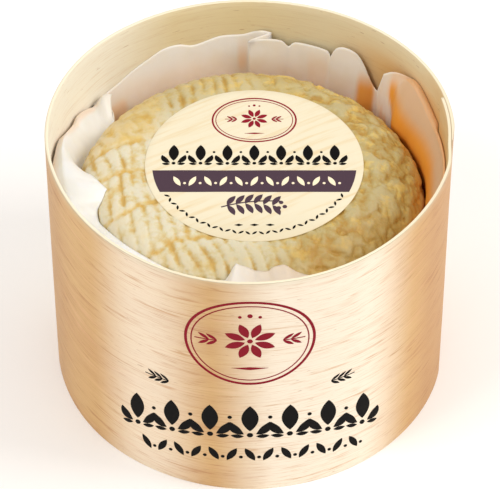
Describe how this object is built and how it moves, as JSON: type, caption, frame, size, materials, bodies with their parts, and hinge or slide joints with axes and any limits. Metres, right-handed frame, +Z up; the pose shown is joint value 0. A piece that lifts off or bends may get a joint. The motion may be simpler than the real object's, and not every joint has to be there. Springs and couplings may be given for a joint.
{
  "type": "boxed soft cheese wheel",
  "caption": "Small soft cheese wheel with a ridged rind and a round label, in pleated paper inside its open round wooden box.",
  "frame": {"origin": "middle of the underside of the box, on the axis of its wall", "axes": "+Z up along the axis of the box, +X to the right and -Y towards the printed front of the box; the lapped seam of the wall is on the +X side"},
  "size_m": [0.085, 0.0857, 0.0633],
  "materials": {
    "box_wood": "plain pale veneer with a fine grain",
    "waxed_paper": "thin white waxed paper, slightly see-through",
    "cheese_rind": null,
    "label_paper": "smooth cream label with a plain ornament"
  },
  "bodies": {
    "root": {"box_wall": "box_wood", "box_base": "box_wood", "paper_liner": "waxed_paper", "cheese": "cheese_rind", "label": "label_paper"}
  },
  "joints": []
}
